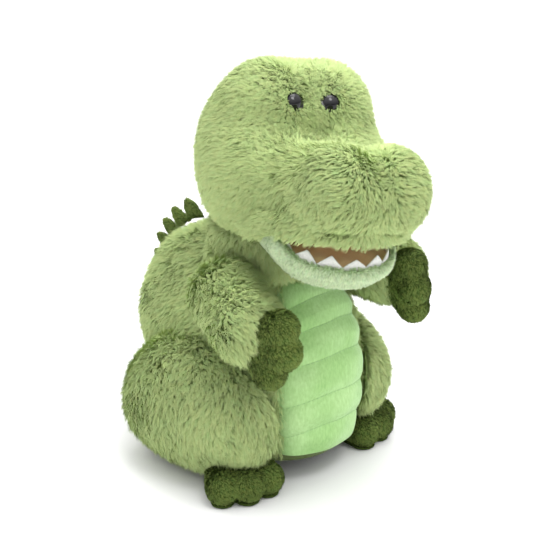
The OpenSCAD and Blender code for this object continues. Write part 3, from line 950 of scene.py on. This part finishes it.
def head_field(p):
    """The stuffed head before its pose: cranium, brow lobes, cheeks, muzzle and nose."""
    q = both_sides(p)
    shape = ellipsoid(q, (0, 6, 206), (51, 39, 49))
    shape = merge(shape, ellipsoid(q, (19, -6.5, 224), (26, 27, 32)), 9)
    shape = merge(shape, ellipsoid(q, (29, -18, 189), (27, 34, 30)), 14)
    shape = merge(shape, ellipsoid(q, (0, -74, 192), (31, 50, 22)), 16)
    shape = merge(shape, ellipsoid(q, (15, -102, 197), (21, 24, 23)), 8)
    shape = merge(shape, ellipsoid(q, (20, -70, 185), (16, 42, 14)), 9)
    shape = merge(shape, capsule(q, EYE_PLACE + [1.5, 4.2, -4.6], EYE_PLACE + [1.5, 10, -14], 6.5, 6.5), 5)
    shape = merge(shape, lip_roll(p), 7)
    shape = carve(shape, mouth_space(p) + 1.0, 3)
    return carve(shape, np.linalg.norm(p - NECK, axis=1) - NECK_HOLE_R, 4)


def head():
    points, faces = surface_net(head_field, (-66, -136, 144), (66, 54, 262), 2.4)
    skin = mesh_object("head_plush", head_pose(points), faces)
    finish_piece(skin, GREEN_BACK, "head", ["head_cover"])
    head_pile(skin)


def upright(points):
    """Resting head points taken back to the upright head."""
    return NECK + (points - NECK) @ HEAD_ROTATION


def head_pile(skin):
    """The head's pile in five parts, shorter on the muzzle and round the eyes."""

    def growing(p, n):
        """1 where pile grows, and 0 in the mouth, round the neck joint and under the eyes."""
        q, m = upright(p), n @ HEAD_ROTATION
        mouth = (m[:, 2] < -0.72) & (q[:, 2] < MOUTH_ROOF + 5) & (q[:, 1] < -40)
        mouth |= mouth_space(q) < 0.5
        neck_hole = np.linalg.norm(q - NECK, axis=1) < NECK_HOLE_R + 1.2
        eyes = np.linalg.norm(both_sides(q) - EYE_PLACE, axis=1) < EYE_R + 0.2
        return np.where(mouth | neck_hole | eyes, 0.0, 1.0)

    def flow(p):
        q = upright(p)
        muzzle = np.clip((-46 - q[:, 1]) / 20, 0, 1)
        side = np.sign(q[:, 0]) * np.clip(np.abs(q[:, 0]) / 16, 0, 1)
        way = np.stack([side * (0.45 + 0.3 * muzzle), 0.75 - 0.5 * muzzle, np.full(len(p), -0.75)], axis=1)
        return way @ HEAD_ROTATION.T

    def length(p):
        q = upright(p)
        eye = np.linalg.norm(both_sides(q) - EYE_PLACE, axis=1)
        long = 8.0 - 2.0 * np.clip((-60 - q[:, 1]) / 40, 0, 1)
        return long * np.clip(0.45 + (eye - EYE_R) / 18, 0.45, 1)

    parts = {
        "crown_right": lambda q: (q[:, 1] >= -12) & (q[:, 0] < 0),
        "crown_left": lambda q: (q[:, 1] >= -12) & (q[:, 0] >= 0),
        "face_right": lambda q: (q[:, 1] >= -60) & (q[:, 1] < -12) & (q[:, 0] < 0),
        "face_left": lambda q: (q[:, 1] >= -60) & (q[:, 1] < -12) & (q[:, 0] >= 0),
        "muzzle": lambda q: q[:, 1] < -60,
    }
    for i, (name, where) in enumerate(parts.items()):
        grow_pile(f"head_pile_{name}", skin, GREEN_PILE, "head", "plush_green", flow, length, 9.0,
                  lean=50, seed=81 + i, swirl=0.55, swirl_size=24,
                  keep=lambda p, n, where=where: growing(p, n) * where(upright(p)))


def eye(side):
    """A domed safety eye with a rolled rim, sunk in the brow a little behind the CAD eye."""
    name = side_name(side)
    rings = [(0.2, 4.9), (1.4, 4.8), (2.8, 4.4), (4.2, 3.6), (5.4, 2.3), (6.1, 1.1), (6.5, 0.5), (6.9, 0.55),
             (7.25, 0.1), (7.2, -0.6), (6.6, -1.0), (2.2, -1.1), (2.1, -12.5), (1.6, -13)]
    segments = 48
    points, faces = [[0, 0, 5.0]], []
    for radius, height in rings:
        points += circle(radius, height, segments)
    for i in range(segments):
        faces.append([0, 1 + i, 1 + (i + 1) % segments])
    for k in range(len(rings) - 1):
        band(faces, 1 + (k + 1) * segments, 1 + k * segments, segments)
    faces.append([1 + (len(rings) - 1) * segments + i for i in reversed(range(segments))])
    obj = mesh_object(f"safety_eye_{name}", eye_pose(points, side), faces)
    finish_piece(obj, EYE, "head", [f"eye_{name}"])


def eye_pose(points, side):
    """Points drawn round an eye that looks along +Z, moved to that eye's place on the resting head."""
    local = np.array(points, float) @ (turn("Z", side * 10) @ turn("X", 52)).T
    return head_pose(local + EYE_PLACE * [side, 1, 1])


def washers():
    """A locking washer on each eye's stem, behind the plush: a ring with a stepped hub."""
    section = [(2.2, -7.0), (3.4, -7.0), (3.6, -8.0), (7.0, -8.2), (7.4, -8.7), (7.0, -9.2), (3.6, -9.4),
               (3.4, -10.6), (2.2, -10.6)]
    segments = 40
    points, faces = [], []
    for side in (-1, 1):
        first = len(points)
        rings = [point for radius, height in section for point in circle(radius, height, segments)]
        points += eye_pose(rings, side).tolist()
        for k in range(len(section)):
            band(faces, first + k * segments, first + (k + 1) % len(section) * segments, segments)
    obj = mesh_object("locking_washers", np.array(points), faces)
    finish_piece(obj, WASHER, "head", ["eye_washers"])


# -------- jaw and mouth

def jaw():
    skin = soft_copy("jaw_plush", "jaw_cover", 1.3, rounds=3, grow=-0.4)
    finish_piece(skin, MINT_BACK, "jaw", ["jaw_cover"])
    frame_turn = HEAD_ROTATION @ JAW_ROTATION

    def closed(p):
        return HINGE + (upright(p) - HINGE) @ JAW_ROTATION

    points = closed(read_points(skin))
    rear = np.clip((points[:, 1] - HINGE[1] + 46) / 42, 0, 1)
    rim = np.clip((points[:, 2] - HINGE[2] + 6) / 6, 0, 1) * np.clip((np.abs(points[:, 0]) - 28) / 5, 0, 1)
    points[:, 1] += JAW_TUCK * np.clip(1.3 * rear - 0.3, 0, 1)
    points[:, 2] += 11.0 * rim * rear
    write_points(skin, jaw_pose(points))

    def keep(p, n):
        q, m = closed(p), n @ frame_turn
        inside = (mouth_plan(q) < -5) & (q[:, 2] > HINGE[2] - 4)
        return np.where(inside | (m[:, 1] > 0.8), 0.0, 1.0)

    def flow(p):
        return np.tile(np.array([0, 0.4, -1.0]) @ frame_turn.T, (len(p), 1))

    grow_pile("jaw_pile", skin, MINT_PILE, "jaw", "plush_mint", flow, 3.0, 5.0, width=0.4, lean=45,
              seed=91, keep=keep, strands_per_clump=10, swirl=0.5, swirl_size=16)


def mouth_outline(half_w, length, count):
    """Points of the mouth's plan, from the hinge round the front and back to the hinge."""
    arc = MOUTH_ROUND * half_w
    side = length - arc
    straight = max(int(count * 0.22), 3)
    points = [(half_w, -side * k / straight) for k in range(straight)]
    points += [(half_w * math.cos(math.pi * k / count), -side - arc * math.sin(math.pi * k / count))
               for k in range(count + 1)]
    points += [(-half_w, -side * (straight - 1 - k) / straight) for k in range(straight)]
    return np.array(points)


def satin_sheet(name, node, half_w, length, z, pose, side, body, sag):
    """The satin over a mouth board: a thin crowned sheet with pulled folds, closed at its rim."""
    rings = 26
    outline = mouth_outline(half_w, length, 44)
    centre = np.array([0, -length * 0.5])
    points, faces = [], []
    count = len(outline)
    for layer in (0, 1):
        for k in range(rings + 1):
            share = k / rings
            flat = centre + (outline - centre) * share
            x, y = flat[:, 0], flat[:, 1]
            fold = 0.32 * np.sin(x * 0.42 + 1.3 * np.sin(y * 0.11)) + 0.22 * np.sin(y * 0.36 + x * 0.13)
            height = sag * (1 - share ** 4) + fold * (1 - share ** 6)
            lift = side * (height + (0.35 if layer == 0 else -0.35) * (1 - 0.6 * share ** 8))
            points += np.stack([x, HINGE[1] + y, np.full(count, z) + lift], axis=1).tolist()
    block = (rings + 1) * count
    for layer in (0, 1):
        for k in range(rings):
            start = layer * block + k * count
            band(faces, start, start + count, count)
    last = rings * count
    band(faces, last, block + last, count)
    obj = mesh_object(name, pose(np.array(points)), faces)
    weld(obj, 0.05)
    finish_piece(obj, SATIN, body, [node])


def weld(obj, distance):
    """Joins points that lie together."""
    work = bmesh.new()
    work.from_mesh(obj.data)
    bmesh.ops.remove_doubles(work, verts=work.verts, dist=distance * MM)
    bmesh.ops.recalc_face_normals(work, faces=work.faces)
    work.to_mesh(obj.data)
    work.free()


def felt_teeth(name, node, half_w, length, base_z, height, first, pitch, up, pose, body, lean):
    """A zigzag strip of felt along the mouth's edge, cut from one piece, with soft edges."""
    outline = mouth_outline(half_w, length, 160)
    steps = np.linalg.norm(np.diff(outline, axis=0), axis=1)
    run = np.concatenate([[0], np.cumsum(steps)])
    total = run[-1]
    teeth = int(round((total - 2 * first) / pitch))
    pitch = (total - 2 * first) / teeth
    samples = teeth * 12 + 1
    at = np.linspace(first, total - first, samples)
    x, y = np.interp(at, run, outline[:, 0]), np.interp(at, run, outline[:, 1])
    inward = unit(np.stack([-x, -length * 0.45 - y], axis=1))
    phase = ((at - first) / pitch) % 1
    wave = 1 - np.abs(2 * phase - 1)
    tooth_size = 1 + 0.12 * np.sin(np.arange(samples) / 12 * 2.4)
    rows = 9
    thick = 1.3
    layers = []
    for layer in (-1, 1):
        grid = []
        for r in range(rows):
            share = r / (rows - 1)
            h = share * (1.6 + (height - 1.6) * wave ** 0.9 * tooth_size)
            edge = math.sqrt(max(1 - max(0, (share - 0.72) / 0.28) ** 2, 0.0))
            inset = lean * h + layer * thick / 2 * (0.25 + 0.75 * edge) + 0.35 * np.sin(at * 0.5) * share
            px, py = x + inward[:, 0] * inset, y + inward[:, 1] * inset
            grid.append(np.stack([px, HINGE[1] + py, base_z + up * h], axis=1))
        layers.append(np.array(grid))
    points, faces = two_layers(*layers)
    obj = mesh_object(name, pose(points), faces)
    weld(obj, 0.01)
    finish_piece(obj, FELT, body, [node])


def mouth():
    """The satin and the felt teeth of both halves of the mouth."""
    satin_sheet("palate_satin", "palate_lining", 33, MOUTH_LEN - 5, MOUTH_ROOF - 2.2, head_pose, -1,
                "head", 0.4)
    satin_sheet("jaw_satin", "jaw_lining", JAW_HALF_W, JAW_LEN, HINGE[2] + 0.9, jaw_pose, 1, "jaw", 0.5)
    felt_teeth("upper_felt_teeth", "upper_teeth", 31, 53, MOUTH_ROOF - 2.4, 3.2, 14, 12.5, -1, head_pose,
               "head", 0.1)
    felt_teeth("lower_felt_teeth", "lower_teeth", JAW_HALF_W, JAW_LEN, HINGE[2] + 0.4, 7.4, 7, 15.5, 1,
               jaw_pose, "jaw", 0.12)


# -------- ridge

def ridge(name, node, body, seed, lift):
    """Rounded scutes with short pile on both faces. Their free ends stand out further by lift."""
    skin = soft_copy(name, node, 0.9, rounds=3, grow=-0.1)
    points = read_points(skin)
    away = (points - RIDGE_CENTRE) * np.array([0.0, 1.0, 1.0])
    far = np.linalg.norm(away, axis=1)
    place = np.round(np.arctan2(away[:, 2], away[:, 1]) / 0.1).astype(int)
    root = np.array([far[np.abs(place - k) <= 1].min() for k in range(place.min(), place.max() + 1)])
    height = far - root[place - place.min()]
    grown = lift * np.clip(height / 5, 0, 1)
    write_points(skin, points + grown[:, None] * away / far[:, None])
    finish_piece(skin, OLIVE_BACK, body, [node])
    grow_short_pile(f"{name}_pile", skin, body, steady(0, 0.6, 0.3), 1.9, 7.0, width=0.4, lean=45,
                    seed=seed)


# -------- carried-over pieces

def stuffing():
    """The loose filling: lumpy masses that sit well inside their covers."""
    voxel = 3.2
    for node in ("belly_fill", "back_fill_right", "back_fill_left"):
        mass = soft_copy(node.replace("fill", "stuffing"), node, voxel, rounds=3, grow=-0.8)
        points = read_points(mass)
        write_points(mass, points + 0.5 * wobble(points, 17, 7))
        finish_piece(mass, STUFFING, "body", [node])
    for node in ("crown_fill", "cheek_fill_right", "cheek_fill_left"):
        mass = soft_copy(node.replace("fill", "stuffing"), node, voxel, rounds=3, grow=-1.0)
        points = upright(read_points(mass))
        points = points + 0.8 * wobble(points, 15, 9)
        points = tucked(head_field, points, 4.5)
        write_points(mass, head_pose(points))
        finish_piece(mass, STUFFING, "head", [node])


def tucked(field, points, depth):
    """Points drawn in until they lie at least so deep inside a field."""
    for _ in range(6):
        over = np.maximum(field(points) + depth, 0)
        slope = slope_at(field, points, 0.5)
        points = points - over[:, None] * slope / np.maximum((slope ** 2).sum(axis=1), 0.2)[:, None]
    return points


def carried_over():
    """Materials for the CAD pieces that stay as they are."""
    plan = {
        "sleeve_lining": LINING, "neck_lining": LINING, "finger_pocket": LINING, "thumb_pocket": LINING,
        "hem_binding": BINDING, "upper_mouth_board": BOARD, "lower_mouth_board": BOARD,
    }
    for node, material in plan.items():
        for slot in frame["nodes"][node].material_slots:
            slot.material = material


# -------- studio

def paper_floor():
    size = 60.0
    floor = bpy.data.meshes.new("floor")
    floor.from_pydata([(-size, -size, 0), (size, -size, 0), (size, size, 0), (-size, size, 0)], [],
                      [(0, 1, 2, 3)])
    ground = new_object("floor", floor)
    paper = Nodes("white paper")
    paper.colour(paper.ramp(paper.noise(3, 2), [(0.0, (0.82, 0.82, 0.82)), (1.0, (0.84, 0.84, 0.84))]))
    paper.set(roughness=0.9, specular=0.1)
    floor.materials.append(paper.material)
    ground.location.z = -LIFT[2] * MM - 0.0005


def soft_light():
    """A room that is brighter overhead than at the sides, and two soft lamps above."""
    world = bpy.data.worlds.new("soft white room")
    bpy.context.scene.world = world
    world.use_nodes = True
    nodes, links = world.node_tree.nodes, world.node_tree.links
    where = nodes.new("ShaderNodeTexCoord")
    height = nodes.new("ShaderNodeSeparateXYZ")
    bright = nodes.new("ShaderNodeMapRange")
    for name, value in (("From Min", 0.0), ("From Max", 1.0), ("To Min", 0.28), ("To Max", 2.1)):
        bright.inputs[name].default_value = value
    links.new(where.outputs["Generated"], height.inputs["Vector"])
    links.new(height.outputs["Z"], bright.inputs["Value"])
    background = nodes["Background"]
    background.inputs["Color"].default_value = (1.0, 1.0, 1.0, 1)
    links.new(bright.outputs["Result"], background.inputs["Strength"])
    add_light("key", (-0.2, -0.8, 1.8), 0.9, 14, (0, 0, 0.12))
    add_light("top", (0.35, 0.2, 1.8), 1.2, 12, (0, 0, 0.12))
    bpy.context.scene.view_settings.view_transform = "Standard"


def place_camera():
    """The camera, in front of the puppet's right side and a little above it."""
    lens = bpy.data.cameras.new("camera")
    lens.sensor_width = 36
    lens.lens = 91.9
    camera = new_object("camera", lens)
    target = Vector((-0.7, 0.7, 121 - LIFT[2])) * MM
    azimuth, elevation, distance = math.radians(-46), math.radians(20), 0.90
    back_way = Vector((math.sin(azimuth) * math.cos(elevation), -math.cos(azimuth) * math.cos(elevation),
                       math.sin(elevation)))
    camera.location = target + distance * back_way
    camera.rotation_euler = (-back_way).to_track_quat("-Z", "Y").to_euler()
    lens.clip_start = 0.01
    bpy.context.scene.camera = camera


def add_light(name, place, size, power, target):
    lamp = bpy.data.lights.new(name, "AREA")
    lamp.shape = "DISK"
    lamp.size = size
    lamp.energy = power
    obj = new_object(name, lamp)
    obj.location = place
    obj.rotation_euler = (Vector(target) - Vector(place)).to_track_quat("-Z", "Y").to_euler()


# -------- everything

paper_floor()
soft_light()
place_camera()
carried_over()
stuffing()
belly()
for side in (-1, 1):
    back(side)
    haunch(side)
    foot(side)
    arm(side)
    eye(side)
washers()
tail()
neck()
head()
jaw()
mouth()
ridge("back_scutes", "back_ridge", "body", 101, 5.0)
ridge("tail_scutes", "tail_ridge", "tail", 102, 0.0)
